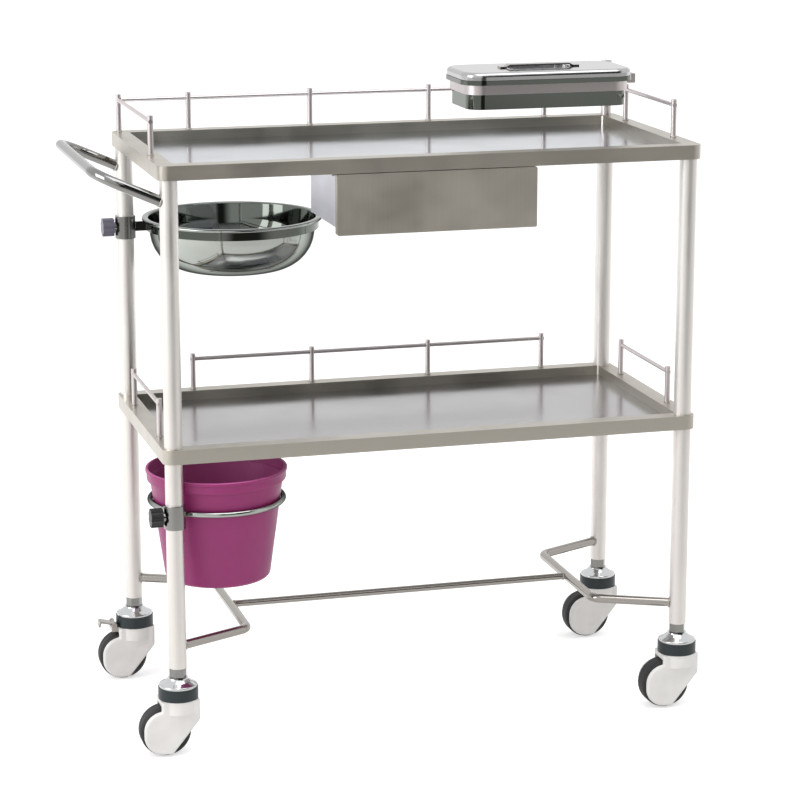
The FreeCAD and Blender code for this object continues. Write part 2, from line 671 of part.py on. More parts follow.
def tray():
    """A tray whose turned-down flange hangs in a flat ring, on a post above the back right leg, and its lid."""
    top = f"{TRAY_BASE} + tray_height"
    post_x, post_y = leg_x(1), leg_y(1)
    piece("tray_post", rod("post", "tray_post_diameter / 2", f"{top} - upper_shelf_height", post_x, post_y,
                           "upper_shelf_height"))
    length, depth = "tray_length + 2 * loose_gap", "tray_depth + 2 * loose_gap"
    corner = "tray_corner_radius + loose_gap"
    band = new_body("tray_band")
    outer = new_sketch(band, "tray_band_outside")
    rectangle(outer, f"{length} + 2 * tray_band_sheet", f"{depth} + 2 * tray_band_sheet", f"{corner} + tray_band_sheet")
    rectangle(outer, length, depth, corner)
    pad(band, outer, "tray_band_height")
    band_low = f"{top} - tray_sheet - loose_gap - tray_band_height"
    place(band, TRAY_X, TRAY_Y, band_low)
    arm_height = "tray_band_height - tray_lip_depth + tray_sheet"
    hub = rod("tray_hub", "tray_hub_radius", arm_height, post_x, post_y, band_low)
    arm_x = f"{TRAY_X} + tray_length / 2 + loose_gap + tray_band_sheet / 2"
    arm_y = f"{TRAY_Y} + tray_depth / 2 - tray_corner_radius"
    side_arm = block("tray_side_arm", f"{post_x} - ({arm_x})", "tray_band_sheet", arm_height, arm_x, arm_y, band_low)
    back_arm = block("tray_back_arm", "tray_band_sheet", f"{post_y} - ({arm_y})", arm_height,
                     f"{post_x} - tray_band_sheet", arm_y, band_low)
    bore = rod("tray_hub_bore", "tray_post_diameter / 2 + fit_gap", "tray_band_height", post_x, post_y, band_low)
    piece("tray_holder", cut("tray_carrier", fused("tray_frame", band, hub, side_arm, back_arm), bore))
    body = new_body("tray_shell")
    pad(body, rectangle(new_sketch(body, "tray_outside"), "tray_length", "tray_depth", "tray_corner_radius"),
        "tray_height")
    flange = new_sketch(body, "tray_flange_outline", lift="tray_height - tray_sheet")
    rectangle(flange, "tray_length + 2 * tray_flange", "tray_depth + 2 * tray_flange", "tray_corner_radius + tray_flange")
    pad(body, flange, "tray_sheet")
    lip = new_sketch(body, "tray_lip_outline", lift="tray_height - tray_sheet")
    for out in ("tray_flange", "(tray_flange - tray_sheet)"):
        rectangle(lip, f"tray_length + 2 * {out}", f"tray_depth + 2 * {out}", f"tray_corner_radius + {out}")
    pad(body, lip, "tray_lip_depth - tray_sheet", reverse=True)
    inside = new_sketch(body, "tray_inside", lift="tray_height")
    rectangle(inside, "tray_length - 2 * tray_sheet", "tray_depth - 2 * tray_sheet", "tray_corner_radius - tray_sheet")
    pocket(body, inside, "tray_height - tray_sheet")
    piece("tray", place(body, TRAY_X, TRAY_Y, TRAY_BASE))
    lid(f"{top} + loose_gap")


def lid(height):
    """A pressed lid with a finger dish, whose hollow rim rests on the flange of the tray."""
    body = new_body("lid_shell")
    rim = "(tray_flange - tray_sheet)"
    raised = new_sketch(body, "lid_outside")
    rectangle(raised, f"tray_length + 2 * {rim}", f"tray_depth + 2 * {rim}", f"tray_corner_radius + {rim}")
    block_pad = pad(body, raised, "lid_height")
    doc.recompute()
    rounded = body.newObject("PartDesign::Fillet", "lid_rounding")
    top_edges = [f"Edge{number}" for number, edge in enumerate(block_pad.Shape.Edges, start=1)
                 if min(vertex.Z for vertex in edge.Vertexes) > value("lid_height") - 0.001]
    rounded.Base = (block_pad, top_edges)
    bind(rounded, Radius="lid_height * 0.55")
    hollow = new_sketch(body, "lid_hollow")
    inner = "(tray_flange - 4 * tray_sheet)"
    rectangle(hollow, f"tray_length + 2 * {inner}", f"tray_depth + 2 * {inner}", f"tray_corner_radius + {inner}")
    pocket(body, hollow, "lid_height - tray_sheet", reverse=True)
    dish = new_sketch(body, "lid_dish_outside", lift="lid_height")
    rectangle(dish, "lid_dish_length + 2 * tray_sheet", "lid_dish_depth + 2 * tray_sheet",
              "lid_dish_rounding + tray_sheet")
    pad(body, dish, "lid_dish_sink + tray_sheet", reverse=True)
    sink = new_sketch(body, "lid_dish_inside", lift="lid_height")
    pocket(body, rectangle(sink, "lid_dish_length", "lid_dish_depth", "lid_dish_rounding"), "lid_dish_sink")
    piece("tray_lid", place(body, TRAY_X, TRAY_Y, height))
    strap = new_body("lid_strap")
    thick, rise = "lid_strap_sheet", "lid_strap_rise"
    span, end = "lid_dish_length / 2", "(lid_dish_length / 2 + lid_strap_foot)"
    under = [(f"-{end}", 0), (f"-{span} - {rise}", 0), (f"-{span} + {rise}", rise), (f"{span} - {rise}", rise),
             (f"{span} + {rise}", 0), (end, 0)]
    over = [(x, f"{y} + {thick}") for x, y in reversed(under)]
    pad(strap, outline(new_sketch(strap, "strap_side", "XZ_Plane"), under + over), "lid_strap_width", both=True)
    piece("lid_handle", place(strap, TRAY_X, TRAY_Y, f"{height} + lid_height"))


def caster_fixed_parts():
    """What stays with the legs: stems with their nuts, dished caps and the dark bands below them."""
    stems, caps, bands = [], [], []
    for corner, (side_x, side_y) in CORNERS.items():
        at = (leg_x(side_x), leg_y(side_y))
        low = "swivel_floor_height + stem_radius + running_gap"
        shank = rod(corner + "_shank", "stem_radius", f"leg_foot_height + stem_depth_in_leg - ({low})", *at, low)
        nut = doc.addObject("Part::Prism", corner + "_nut")
        nut.Polygon = 6
        bind(nut, Circumradius="stem_nut_radius", Height="leg_foot_height - cap_top_height")
        place(nut, *at, "cap_top_height")
        stems.append(fused(corner + "_stem", shank, nut))
        body = new_body(corner + "_cap")
        hole = "stem_radius + running_gap"
        low = "swivel_floor_height + running_gap"
        profile = [(hole, low), ("swivel_radius", low),
                   ("swivel_radius", "cap_base_height"), ("hood_column_radius", "cap_base_height"),
                   ("hood_column_radius", "cap_base_height + cap_edge", "cap_edge"),
                   ("cap_neck_radius", "cap_top_height"), (hole, "cap_top_height")]
        turned(body, outline(new_sketch(body, corner + "_cap_profile", "XZ_Plane"), profile))
        caps.append(place(body, *at))
        band_low = "hood_top_height + loose_gap"
        height = f"cap_base_height - ({band_low})"
        outside = rod(corner + "_band_outside", "band_radius", height, *at, band_low)
        inside = rod(corner + "_band_inside", "swivel_ring_radius + loose_gap", height, *at, band_low)
        bands.append(cut(corner + "_band", outside, inside))
    piece("caster_stems", group("stems", *stems))
    piece("caster_caps", group("caps", *caps))
    piece("caster_bands", group("bands", *bands))


def caster_hood(corner, at):
    """A moulded hood: a column under the cap, side covers over the wheel and an open wheel slot."""
    body = new_body(corner + "_hood_body")
    column, back = "hood_column_radius", "-caster_trail - hood_back_reach"
    side = [(column, "hood_top_height"), (f"-{column}", "hood_top_height"), (f"-{column}", "hood_notch_height", 2),
            (back, "hood_shoulder_height", "hood_back_rounding"), (back, "hood_toe_height", "hood_back_rounding"),
            ("-caster_trail + hood_toe_reach", "hood_toe_height", "hood_rounding"),
            (column, "hood_heel_height", "2 * hood_rounding")]
    cheeks = pad(body, outline(new_sketch(body, corner + "_side", "XZ_Plane"), side), "hood_width", both=True)
    doc.recompute()
    rim = [f"Edge{number}" for number, edge in enumerate(cheeks.Shape.Edges, start=1)
           if all(abs(abs(vertex.Y) - value("hood_width / 2")) < 0.001 for vertex in edge.Vertexes)
           and min(vertex.Z for vertex in edge.Vertexes) < value("hood_top_height") - 0.001]
    rounded = body.newObject("PartDesign::Fillet", "hood_rim")
    rounded.Base = (cheeks, rim)
    bind(rounded, Radius="hood_rounding")
    pad(body, circle(new_sketch(body, corner + "_column", lift="hood_top_height"), column), "hood_column_height",
        reverse=True)
    pad(body, circle(new_sketch(body, corner + "_ring", lift="hood_top_height"), "swivel_ring_radius"),
        "cap_base_height - hood_top_height - loose_gap")
    place(body, *at)
    x, y = at
    slot = rod(corner + "_slot", "wheel_radius + wheel_room", "hood_slot", f"{x} - caster_trail",
               f"{y} - hood_slot / 2", "wheel_radius", ALONG_Y)
    pivot = rod(corner + "_pivot", "swivel_radius + running_gap", "cap_base_height - swivel_floor_height", x, y,
                "swivel_floor_height")
    axle_length = "(hood_width + hood_slot) / 2"
    axle_hole = rod(corner + "_axle_hole", "axle_radius + running_gap", f"{axle_length} + 2 * running_gap",
                    f"{x} - caster_trail", f"{y} - {axle_length} / 2 - running_gap", "wheel_radius", ALONG_Y)
    piece("hood_" + corner, cut(corner + "_hood", body, slot, pivot, axle_hole))
    piece("axle_" + corner, rod(corner + "_axle", "axle_radius", axle_length, f"{x} - caster_trail",
                                f"{y} - {axle_length} / 2", "wheel_radius", ALONG_Y))


def caster_wheel(corner, at):
    """A dished hub on the axle, with a rounded tyre round it."""
    x, y = at
    hub = new_body(corner + "_hub")
    bore, half, boss = "axle_radius + running_gap", "hub_width / 2", "hub_boss_width / 2"
    web = "hub_width / 5"
    profile = [(bore, f"-{boss}"), ("hub_boss_radius", f"-{boss}"), ("hub_boss_radius", f"-{web}"),
               ("hub_radius - hub_width / 6", f"-{web}"), ("hub_radius - hub_width / 6", f"-{half}"),
               ("hub_radius", f"-{half}"), ("hub_radius", half), ("hub_radius - hub_width / 6", half),
               ("hub_radius - hub_width / 6", web), ("hub_boss_radius", web), ("hub_boss_radius", boss), (bore, boss)]
    turned(hub, outline(new_sketch(hub, corner + "_hub_profile", "XZ_Plane"), profile))
    centre = (f"{x} - caster_trail", y, "wheel_radius", ALONG_Y)
    piece("wheel_" + corner, place(hub, *centre))
    tyre = new_body(corner + "_tyre")
    half, soft = "tyre_width / 2", "(wheel_radius - hub_radius) * 0.7"
    profile = [("hub_radius", f"-{half}"), ("wheel_radius", f"-{half}", soft), ("wheel_radius", half, soft),
               ("hub_radius", half)]
    turned(tyre, outline(new_sketch(tyre, corner + "_tyre_profile", "XZ_Plane"), profile))
    piece("tyre_" + corner, place(tyre, *centre))


def brake(at):
    """A foot pedal hinged on ears behind the hood of the back left caster."""
    x, y = at
    pin_x = f"{x} - brake_pin_reach"
    low = "hood_top_height - 3 * brake_pin_radius"
    edge = f"{pin_x} - 2 * brake_pin_radius"
    base = block("brake_base", f"{x} - hood_column_radius - fit_gap - ({edge})", "brake_width",
                 "3 * brake_pin_radius", edge, f"{y} - brake_width / 2", low)
    ears = []
    for name, start in (("front", f"{y} - brake_width / 2"), ("back", f"{y} + brake_width / 2 - brake_ear")):
        ears.append(block(f"brake_ear_{name}", "4 * brake_pin_radius", "brake_ear", f"brake_pin_height - ({low})",
                          edge, start, low))
        ears.append(rod(f"brake_eye_{name}", "2 * brake_pin_radius", "brake_ear", pin_x, start, "brake_pin_height",
                        ALONG_Y))
    pin_hole = rod("brake_pin_hole", "brake_pin_radius + running_gap", "brake_width", pin_x, f"{y} - brake_width / 2",
                   "brake_pin_height", ALONG_Y)
    piece("brake_bracket", cut("brake_carrier", fused("brake_ears", base, *ears), pin_hole))
    inner = "brake_width - 2 * brake_ear - 2 * loose_gap"
    pin = rod("brake_pin", "brake_pin_radius", "brake_width", 0, "-brake_width / 2", 0, ALONG_Y)
    hub = rod("brake_hub", "brake_hub_radius", inner, 0, f"-({inner}) / 2", 0, ALONG_Y)
    body = new_body("pedal_plate")
    thick = "pedal_sheet"
    side = [(0, f"-{thick} / 2"), (0, f"{thick} / 2"), ("-pedal_reach", f"{thick} / 2", thick),
            ("-pedal_reach", f"{thick} / 2 - pedal_lip"), (f"-pedal_reach + {thick}", f"{thick} / 2 - pedal_lip"),
            (f"-pedal_reach + {thick}", f"-{thick} / 2")]
    pad(body, outline(new_sketch(body, "pedal_side", "XZ_Plane"), side), inner, both=True)
    pedal = fused("pedal", pin, hub, body)
    turn = FreeCAD.Rotation(FreeCAD.Vector(0, 1, 0), value("pedal_rise"))
    piece("brake_pedal", place(pedal, pin_x, y, "brake_pin_height", turn))
    bind(pedal, Placement__Rotation__Angle="pedal_rise")


def casters():
    caster_fixed_parts()
    for corner, (side_x, side_y) in CORNERS.items():
        at = (leg_x(side_x), leg_y(side_y))
        caster_hood(corner, at)
        caster_wheel(corner, at)
    brake((leg_x(-1), leg_y(1)))


legs()
for level, level_height in (("lower", "lower_shelf_height"), ("upper", "upper_shelf_height")):
    shelf(level, level_height, open_top=level == "lower")
    rails(level, level_height)
push_handle()
foot_braces()
drawer_runners()
drawer()
basin()
bucket()
tray()
casters()
doc.recompute()

faults = [thing.Name for thing in doc.Objects if {"Invalid", "Error"} & set(thing.State)]
for node, thing in pieces.items():
    if thing.Shape.isNull() or not thing.Shape.isValid():
        faults.append(node)
if faults:
    raise RuntimeError("not sound: " + ", ".join(sorted(set(faults))))
os.makedirs("parts", exist_ok=True)
for node, thing in pieces.items():
    thing.Shape.exportStep(f"parts/{node}.step")
print(len(pieces), "pieces written")
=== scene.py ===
"""Looks for the dressing trolley: stainless steel, moulded casters, a magenta bucket, in a pale studio."""

import math

import bmesh
import bpy
from mathutils import Matrix, Vector


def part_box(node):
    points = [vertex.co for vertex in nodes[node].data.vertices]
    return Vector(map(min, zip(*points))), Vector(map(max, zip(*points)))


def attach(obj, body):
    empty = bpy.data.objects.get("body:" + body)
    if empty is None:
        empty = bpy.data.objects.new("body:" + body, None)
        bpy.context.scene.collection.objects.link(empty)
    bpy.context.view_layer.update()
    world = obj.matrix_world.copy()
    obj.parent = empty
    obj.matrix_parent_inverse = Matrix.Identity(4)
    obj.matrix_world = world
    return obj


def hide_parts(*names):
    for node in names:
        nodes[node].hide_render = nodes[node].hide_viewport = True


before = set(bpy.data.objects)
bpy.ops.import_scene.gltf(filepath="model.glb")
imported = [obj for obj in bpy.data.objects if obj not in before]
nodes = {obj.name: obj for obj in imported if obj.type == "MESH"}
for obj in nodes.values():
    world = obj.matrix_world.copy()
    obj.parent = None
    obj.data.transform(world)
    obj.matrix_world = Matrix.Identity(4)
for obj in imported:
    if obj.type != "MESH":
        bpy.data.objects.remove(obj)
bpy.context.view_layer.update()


# Node trees


class Tree:
    """A node tree, built up step by step."""

    def __init__(self, tree):
        self.tree = tree

    def add(self, kind, **settings):
        node = self.tree.nodes.new(kind)
        for key, setting in settings.items():
            setattr(node, key, setting)
        return node

    def link(self, source, target):
        self.tree.links.new(source, target)

    def mixed(self, factor, first, second):
        """Two colours, each a tuple or a socket, mixed by a factor socket."""
        mix = self.add("ShaderNodeMix", data_type="RGBA")
        self.link(factor, mix.inputs[0])
        for socket, colour in ((mix.inputs[6], first), (mix.inputs[7], second)):
            if isinstance(colour, tuple):
                socket.default_value = (*colour, 1)
            else:
                self.link(colour, socket)
        return mix.outputs[2]

    def mixed_shaders(self, factor, first, second):
        mix = self.add("ShaderNodeMixShader")
        for source, target in zip((factor, first, second), mix.inputs):
            self.link(source, target)
        return mix.outputs[0]

    def product(self, first, *others):
        """The product of factor sockets."""
        for other in others:
            node = self.add("ShaderNodeMath", operation="MULTIPLY")
            self.link(first, node.inputs[0])
            self.link(other, node.inputs[1])
            first = node.outputs[0]
        return first

    def window(self, source, edges):
        """1 between the two middle edges, falling to 0 at the two outer ones; None leaves a side open."""
        sides = []
        for outer, inner in (edges[:2], edges[2:][::-1]):
            if outer is None:
                continue
            span = self.add("ShaderNodeMapRange", interpolation_type="SMOOTHSTEP")
            span.inputs["From Min"].default_value = outer
            span.inputs["From Max"].default_value = inner
            self.link(source, span.inputs["Value"])
            sides.append(span.outputs["Result"])
        return self.product(*sides)


class Surface(Tree):
    """A material round one principled shader, textured in the object's own metres."""

    def __init__(self, name, colour, roughness, metallic=0.0, **sockets):
        self.material = bpy.data.materials.new(name)
        self.material.use_nodes = True
        super().__init__(self.material.node_tree)
        self.shader = self.tree.nodes["Principled BSDF"]
        self.shader.inputs["Base Color"].default_value = (*colour, 1)
        self.shader.inputs["Roughness"].default_value = roughness
        self.shader.inputs["Metallic"].default_value = metallic
        for socket, number in sockets.items():
            self.shader.inputs[socket.replace("_", " ")].default_value = number
        self.colour = colour
        self.roughness = roughness
        self.place = self.add("ShaderNodeTexCoord").outputs["Object"]

    def noise(self, scale, stretch=(1, 1, 1), detail=4.0):
        """Noise with scale spots per metre; stretch slows it along an axis, and 0 there makes it even."""
        mapping = self.add("ShaderNodeMapping")
        mapping.inputs["Scale"].default_value = stretch
        self.link(self.place, mapping.inputs["Vector"])
        texture = self.add("ShaderNodeTexNoise")
        for socket, number in (("Scale", scale), ("Detail", detail), ("Roughness", 0.6)):
            texture.inputs[socket].default_value = number
        self.link(mapping.outputs["Vector"], texture.inputs["Vector"])
        return texture.outputs["Fac"]

    def spread(self, source, low, high):
        """The source from 0.3 to 0.7, where most noise lies, mapped to low and high."""
        span = self.add("ShaderNodeMapRange")
        for socket, number in zip(("From Min", "From Max", "To Min", "To Max"), (0.3, 0.7, low, high)):
            span.inputs[socket].default_value = number
        self.link(source, span.inputs["Value"])
        return span.outputs["Result"]

    def vary_roughness(self, source, share):
        amount = self.roughness * share
        varied = self.spread(source, self.roughness - amount, self.roughness + amount)
        self.link(varied, self.shader.inputs["Roughness"])

    def vary_colour(self, source, shade):
        """From the colour to its shaded tone, by the source."""
        other = tuple(channel * shade for channel in self.colour)
        mix = self.mixed(self.spread(source, 0, 1), self.colour, other)
        self.link(mix, self.shader.inputs["Base Color"])

    def bump(self, source, height, strength):
        bump = self.add("ShaderNodeBump")
        bump.inputs["Strength"].default_value = strength
        bump.inputs["Distance"].default_value = height
        self.link(source, bump.inputs["Height"])
        self.link(bump.outputs["Normal"], self.shader.inputs["Normal"])


# Materials

GRAIN_SPOTS, PATCH_SPOTS = 900, 9
MOULD_SPOTS, MOULD_GLOSS_SPOTS, MOULD_TINT_SPOTS = 1400, 14, 30


def steel(name, colour, roughness, grain, depth=0.000003, mottle=0.93, **sockets):
    """Stainless sheet or tube, with grain lines that run along the axis where grain is 0."""
    surface = Surface(name, colour, roughness, metallic=1.0, **sockets)
    lines = surface.noise(GRAIN_SPOTS, grain, detail=3)
    surface.vary_roughness(surface.noise(PATCH_SPOTS), 0.25)
    surface.vary_colour(lines, mottle)
    surface.bump(lines, depth, 0.25)
    return surface.material


def moulded(name, colour, roughness, grain_height=0.00005, **sockets):
    """Plastic or rubber with a fine moulded grain."""
    surface = Surface(name, colour, roughness, **sockets)
    surface.vary_roughness(surface.noise(MOULD_GLOSS_SPOTS), 0.2)
    surface.vary_colour(surface.noise(MOULD_TINT_SPOTS), 0.9)
    surface.bump(surface.noise(MOULD_SPOTS, detail=2), grain_height, 0.4)
    return surface.material


ALONG_X, ALONG_Y, ALONG_Z, EVEN = (0, 1, 1), (1, 0, 1), (1, 1, 0), (0.3, 0.3, 0.3)
FRAME, TUBE, ROD, RAIL = (0.55, 0.52, 0.465), (0.84, 0.81, 0.78), (0.41, 0.385, 0.36), (0.68, 0.63, 0.63)
FAINT_DEPTH, FAINT_MOTTLE = 0.000001, 0.97

# No steel's roughness, 25% either way, crosses 0.274: the denoiser takes smoother metal for a mirror, and
# draws a mark where a surface changes over.
frame_steel = steel("frame_steel", FRAME, 0.37, ALONG_X, FAINT_DEPTH, FAINT_MOTTLE)
leg_steel = steel("leg_steel", TUBE, 0.43, ALONG_Z)
polished_x = steel("polished_steel_along_x", ROD, 0.14, ALONG_X)
polished_y = steel("polished_steel_along_y", ROD, 0.12, ALONG_Y)
polished_z = steel("polished_steel_along_z", ROD, 0.14, ALONG_Z)
rail_x = steel("rail_steel_along_x", RAIL, 0.37, ALONG_X, FAINT_DEPTH, FAINT_MOTTLE)
rail_y = steel("rail_steel_along_y", RAIL, 0.37, ALONG_Y, FAINT_DEPTH, FAINT_MOTTLE)
rail_z = steel("rail_steel_along_z", RAIL, 0.37, ALONG_Z, FAINT_DEPTH, FAINT_MOTTLE)
# Painted light: paler than the other sheet steel, for the bright light on the drawer box's left side.
painted_light_box_sheet = steel("drawer_side_painted_light", (0.80, 0.80, 0.86), 0.50, ALONG_Y)
upper_sheet = steel("upper_panel_steel", (0.62, 0.65, 0.69), 0.17, ALONG_X)
lower_sheet = steel("lower_panel_steel", (0.47, 0.46, 0.47), 0.19, ALONG_X)
mirror_steel = steel("mirror_steel", (0.45, 0.475, 0.45), 0.05, EVEN, FAINT_DEPTH, FAINT_MOTTLE,
                     Specular_Tint=(0.1, 0.1, 0.1, 1))
# Painted dark reflection: a dark copy of the mirror steel, for the basin's inside, the tray and the basin
# ring.
painted_reflection_mirror = steel("mirror_steel_painted_dark_reflection", (0.15, 0.165, 0.15), 0.05, EVEN, FAINT_DEPTH, FAINT_MOTTLE)
lid_steel = steel("lid_steel", (0.52, 0.52, 0.53), 0.12, ALONG_Y)
handle_steel = steel("handle_steel", (0.30, 0.30, 0.295), 0.08, EVEN, FAINT_DEPTH)
weld_steel = steel("weld_steel", (0.50, 0.48, 0.44), 0.37, EVEN, 0.00002, 0.8)
cap_steel = steel("cap_steel", (0.66, 0.67, 0.68), 0.10, EVEN, FAINT_DEPTH, FAINT_MOTTLE)
drawer_steel = steel("drawer_steel", (0.56, 0.53, 0.47), 0.42, ALONG_Z)
clamp_steel = steel("clamp_steel", (0.30, 0.30, 0.29), 0.215, ALONG_Z)
bucket_plastic = moulded("bucket_plastic", (0.32, 0.028, 0.165), 0.42,
                         Subsurface_Weight=0.3, Subsurface_Scale=0.02)
# Painted light: a paler copy of the bucket plastic on its inner and upward faces, lifting the shade inside
# the bucket.
inside_painted_light = moulded("inside_bucket_painted_light", (0.62, 0.12, 0.38), 0.5)
hood_plastic = moulded("hood_plastic", (0.88, 0.86, 0.84), 0.34, 0.00002)
band_plastic = moulded("band_plastic", (0.014, 0.024, 0.028), 0.34)
wheel_plastic = moulded("wheel_plastic", (0.42, 0.43, 0.43), 0.40)
knob_grey = moulded("knob_grey_plastic", (0.16, 0.15, 0.20), 0.35)
knob_black = moulded("knob_black_plastic", (0.014, 0.014, 0.016), 0.40)
tyre_rubber = moulded("tyre_rubber", (0.018, 0.018, 0.020), 0.62, 0.0001)

CORNERS = ("front_left", "back_left", "front_right", "back_right")


def each(piece):
    """The piece's node names, one for each corner of the trolley."""
    return [piece + "_" + corner for corner in CORNERS]


def dress(material, *names):
    """One material on all faces of the named nodes."""
    for name in names:
        node = nodes[name]
        node.data.materials.clear()
        node.data.materials.append(material)
        for face in node.data.polygons:
            face.material_index = 0


dress(leg_steel, *each("leg"))
dress(frame_steel, "upper_shelf_frame", "lower_shelf_frame")
dress(upper_sheet, "upper_shelf_panel")
dress(lower_sheet, "lower_shelf_panel")
dress(drawer_steel, "drawer_front")
# The drawer box and runners take the paler, painted-light sheet.
dress(painted_light_box_sheet, "drawer_box", "drawer_left_runner", "drawer_right_runner")
dress(rail_x, "upper_back_rail", "lower_back_rail", "tray_holder")
dress(rail_y, "upper_left_rail", "upper_right_rail", "lower_left_rail", "lower_right_rail")
dress(rail_z, "upper_rail_posts", "lower_rail_posts", "tray_post")
dress(polished_x, "foot_stretcher", "lid_handle")
dress(polished_y, "left_foot_brace", "right_foot_brace")
dress(polished_z, "brake_bracket", "brake_pedal", *each("axle"))
dress(clamp_steel, "basin_clamp", "bucket_clamp", "caster_stems")
dress(mirror_steel, "bucket_ring")
dress(lid_steel, "tray_lid")
dress(handle_steel, "push_handle")
# The tray and basin ring take the painted dark reflection.
dress(painted_reflection_mirror, "tray", "basin_ring")
dress(cap_steel, "caster_sockets")
dress(hood_plastic, *each("hood"))
dress(wheel_plastic, *each("wheel"))
dress(tyre_rubber, *each("tyre"))
dress(band_plastic, "caster_bands")
dress(knob_grey, "basin_knob")
dress(knob_black, "bucket_knob")


# Turned pieces, smoother than the solids they stand for


def middle_of(node):
    low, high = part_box(node)
    return (Vector(low) + Vector(high)) / 2


def axis_of(node, height):
    place = middle_of(node)
    return (place.x, place.y, height)


def softened(outline, steps=8):
    """Points in metres from corners of (radius, height, rounding) in millimetres, with the arcs put in."""
    line = []
    for number, (across, up, rounding) in enumerate(outline):
        here = Vector((across, up))
        if not rounding:
            line.append(here)
            continue
        back = (Vector(outline[number - 1][:2]) - here).normalized()
        ahead = (Vector(outline[number + 1][:2]) - here).normalized()
        half = back.angle(ahead) / 2
        centre = here + (back + ahead).normalized() * rounding / math.sin(half)
        start = here + back * rounding / math.tan(half) - centre
        sweep = start.angle_signed(here + ahead * rounding / math.tan(half) - centre)
        for step in range(steps + 1):
            line.append(centre + Matrix.Rotation(-sweep * step / steps, 2) @ start)
    return [point / 1000 for point in line]


def smooth_object(mesh, name, *materials):
    """The bmesh as a smooth object, with these material slots."""
    bmesh.ops.recalc_face_normals(mesh, faces=mesh.faces)
    for face in mesh.faces:
        face.smooth = True
    data = bpy.data.meshes.new(name)
    mesh.to_mesh(data)
    mesh.free()
    for material in materials:
        data.materials.append(material)
    thing = bpy.data.objects.new(name, data)
    bpy.context.scene.collection.objects.link(thing)
    return thing


ON_AXIS = 1e-6
SHARP_EDGE = math.radians(50)


def spun(name, body, materials, centre, outline, *replaced, sides=160):
    """A smooth lathe piece about a vertical axis; a second material, painting light or shade, goes on the
    faces turned in or up.
    """
    mesh = bmesh.new()
    rings = []
    for point in softened(outline):
        if point.x < ON_AXIS:
            rings.append([mesh.verts.new((centre[0], centre[1], centre[2] + point.y))])
            continue
        ring = []
        for side in range(sides):
            turn = 2 * math.pi * side / sides
            x, y = centre[0] + point.x * math.cos(turn), centre[1] + point.x * math.sin(turn)
            ring.append(mesh.verts.new((x, y, centre[2] + point.y)))
        rings.append(ring)
    closed = len(rings[0]) > 1
    for first, second in zip(rings, rings[1:] + rings[:1] if closed else rings[1:]):
        for side in range(sides):
            after = (side + 1) % sides
            if len(first) == 1:
                mesh.faces.new((first[0], second[side], second[after]))
            elif len(second) == 1:
                mesh.faces.new((first[side], second[0], first[after]))
            else:
                mesh.faces.new((first[side], second[side], second[after], first[after]))
    thing = smooth_object(mesh, name, *materials)
    if len(materials) > 1:
        for face in thing.data.polygons:
            toward_axis = (Vector(centre) - face.center).xy.dot(face.normal.xy)
            face.material_index = int(toward_axis > 0 or face.normal.z > 0.5)
    thing.data.set_sharp_from_angle(angle=SHARP_EDGE)
    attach(thing, body)
    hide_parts(*replaced)


# An outline's heights are above a level of its piece: the basin's flange, the bucket's lowest point, or the
# floor under the caps.
BASIN_OUTLINE = [
    (0, -77, 0), (118, -77, 60), (124, -0.2, 1.5), (129.4, -0.2, 0.6), (129.4, -2.2, 1.2),
    (133.4, -2.2, 1.6), (133.4, 2.5, 2), (124, 2.5, 2.5), (116.8, -75.8, 58.8), (0, -75.8, 0)]
BUCKET_OUTLINE = [
    (0, 2, 0), (62, 2, 0), (64, 0, 0.8), (74, 0, 8), (93.71, 142.5, 0.8), (98, 142.5, 2), (98.4, 147, 0.8),
    (98.4, 154.5, 0.8), (100, 155.5, 0.8), (100, 159.5, 1.8), (96, 159.5, 1.2), (95, 144.5, 1),
    (91.71, 144.5, 1), (72, 3.5, 7), (0, 3.5, 0)]
CAP_OUTLINE = [
    (6.3, 76.3, 0), (12, 76.3, 0), (12, 98, 0), (27, 98, 0.5), (27, 101.5, 2), (19, 105.5, 9),
    (14.5, 109.5, 4), (14, 111, 0), (6.3, 111, 0)]
BASIN_RIM = 0.0025
BASIN_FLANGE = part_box("basin_bowl")[1][2] - BASIN_RIM
BUCKET_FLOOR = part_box("bucket")[0][2]

# The basin's inner and upward faces take the painted dark reflection.
spun("basin_shell", "basin", (mirror_steel, painted_reflection_mirror), axis_of("basin_bowl", BASIN_FLANGE),
     BASIN_OUTLINE, "basin_bowl", sides=256)
# The bucket's inner and upward faces take the paler copy, painted light.
spun("bucket_shell", "bucket", (bucket_plastic, inside_painted_light), axis_of("bucket", BUCKET_FLOOR),
     BUCKET_OUTLINE, "bucket", sides=192)
for corner in CORNERS:
    spun("cap_" + corner, "trolley", (cap_steel,), axis_of("leg_" + corner, 0),
         CAP_OUTLINE, "caster_caps", sides=96)


# Weld beads


def beads(name, body, rings, sides=40, around=10):
    """Uneven weld beads, one piece: each ring is a centre, axis, radius and bead radius in metres."""
    mesh = bmesh.new()
    for centre, axis, radius, bead in rings:
        turn = Vector((0, 0, 1)).rotation_difference(Vector(axis)).to_matrix()
        rows = []
        for side in range(sides):
            angle = 2 * math.pi * side / sides
            thick = bead * (1 + 0.12 * math.sin(7 * angle) + 0.06 * math.sin(17 * angle))
            row = []
            for step in range(around):
                lean = 2 * math.pi * step / around
                reach = radius + thick * math.cos(lean)
                spot = Vector((reach * math.cos(angle), reach * math.sin(angle), thick * math.sin(lean)))
                row.append(mesh.verts.new(turn @ spot + Vector(centre)))
            rows.append(row)
        for first, second in zip(rows, rows[1:] + rows[:1]):
            for step in range(around):
                after = (step + 1) % around
                mesh.faces.new((first[step], second[step], second[after], first[after]))
    thing = smooth_object(mesh, name, weld_steel)
    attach(thing, body)


